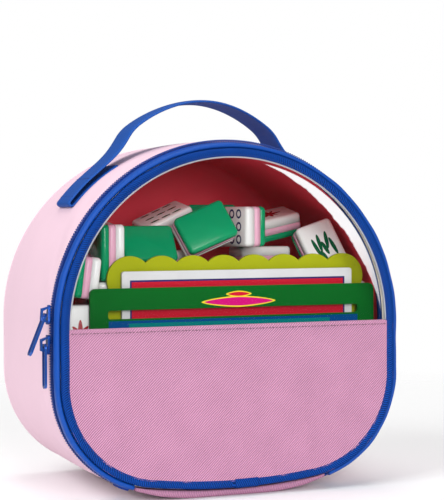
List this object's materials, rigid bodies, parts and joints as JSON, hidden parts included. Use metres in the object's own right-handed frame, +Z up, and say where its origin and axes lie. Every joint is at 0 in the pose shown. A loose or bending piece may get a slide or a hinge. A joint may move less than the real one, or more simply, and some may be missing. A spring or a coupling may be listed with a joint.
{
  "type": "soft-sided game set case",
  "caption": "Rounded soft carrying case with a zipped, windowed lid on a fabric hinge, a webbing handle, and game tiles and rule cards inside.",
  "frame": {"origin": "on the surface the case stands on, under the middle of its width and depth", "axes": "+X to the right seen from the front, +Y to the back panel, +Z up; the lid faces -Y"},
  "size_m": [0.2084, 0.1199, 0.212],
  "materials": {
    "pale_pink_fabric": "woven, matt",
    "pink_canvas": "twill canvas, matt",
    "foam": "soft padding",
    "crimson_lining": "smooth lining",
    "blue_trim": "woven binding",
    "blue_webbing": "twill webbing",
    "blue_coil": "moulded coil",
    "cream_tape": "woven tape",
    "cream_coil": "moulded coil",
    "clear_film": "clear flexible film",
    "frosted_film": "frosted flexible film",
    "steel": "plated",
    "blue_paint": "baked enamel",
    "green_board": "printed, satin",
    "white_board": "printed, satin",
    "lime_board": "printed, satin",
    "green_resin": "polished",
    "pink_resin": "polished",
    "white_resin": "polished"
  },
  "bodies": {
    "case_body": {"gusset_shell": "pale_pink_fabric", "back_panel": "pale_pink_fabric", "base_panel": "pale_pink_fabric", "gusset_foam": "foam", "gusset_lining": "crimson_lining", "back_lining": "crimson_lining", "back_foam": "foam", "back_seam_binding": "crimson_lining", "mouth_binding": "blue_trim", "body_zip_tape": "cream_tape", "body_zip_coil": "blue_coil", "zip_end_tabs": "blue_trim", "handle_end_left": "blue_webbing", "handle_end_right": "blue_webbing", "green_card": "green_board", "white_card": "white_board", "lime_card": "lime_board", "tile_backs": "green_resin", "tile_cores": "pink_resin", "tile_faces": "white_resin", "hinge_strip": "pink_canvas"},
    "lid": {"lid_window": "clear_film", "lid_panel": "pink_canvas", "lid_panel_hem": "pink_canvas", "lid_binding": "blue_trim", "lid_binding_join": "blue_trim", "lid_zip_tape": "blue_trim", "lid_zip_coil": "blue_coil", "lid_seam_binding": "cream_tape", "inner_zip_tape_upper": "cream_tape", "inner_zip_tape_lower": "cream_tape", "inner_zip_coil": "cream_coil", "inner_pocket_sheet": "frosted_film"},
    "inner_zip_slider": {"inner_zip_slider": "steel"},
    "inner_zip_pull": {"inner_zip_pull": "steel"},
    "handle": {"handle_loop": "blue_webbing"},
    "zip_slider_upper": {"zip_slider_upper": "blue_paint"},
    "zip_slider_lower": {"zip_slider_lower": "blue_paint"},
    "zip_pull_upper": {"zip_pull_upper": "blue_paint"},
    "zip_pull_lower": {"zip_pull_lower": "blue_paint"}
  },
  "joints": [
    {"name": "lid_hinge", "type": "hinge", "parent": "case_body", "child": "lid", "pos_m": [0, -0.0567, 0.0043], "axis": [1, 0, 0], "range_deg": [0, 90]},
    {"name": "handle_swing", "type": "hinge", "parent": "case_body", "child": "handle", "pos_m": [0, -0.004, 0.17475], "axis": [1, 0, 0], "range_deg": [-30, 30], "stiffness_Nm_per_rad": 0.05},
    {"name": "upper_slider_run", "type": "hinge", "parent": "case_body", "child": "zip_slider_upper", "pos_m": [0, -0.0488, 0.0906], "axis": [0, 1, 0], "range_deg": [0, 172]},
    {"name": "lower_slider_run", "type": "slide", "parent": "case_body", "child": "zip_slider_lower", "axis": [0, 0, -1], "range_m": [0, 0.018]},
    {"name": "upper_pull_swing", "type": "hinge", "parent": "zip_slider_upper", "child": "zip_pull_upper", "pos_m": [-0.1004, -0.0488, 0.09833], "axis": [0, 1, 0], "range_deg": [0, 140]},
    {"name": "lower_pull_swing", "type": "hinge", "parent": "zip_slider_lower", "child": "zip_pull_lower", "pos_m": [-0.1007, -0.0488, 0.08291], "axis": [0, 1, 0], "range_deg": [0, 40]},
    {"name": "inner_slider_run", "type": "slide", "parent": "lid", "child": "inner_zip_slider", "axis": [-1, 0, 0], "range_m": [0, 0.15]},
    {"name": "inner_pull_swing", "type": "hinge", "parent": "inner_zip_slider", "child": "inner_zip_pull", "pos_m": [0.0754, -0.0528, 0.0758], "axis": [0, 1, 0], "range_deg": [-50, 60]}
  ]
}
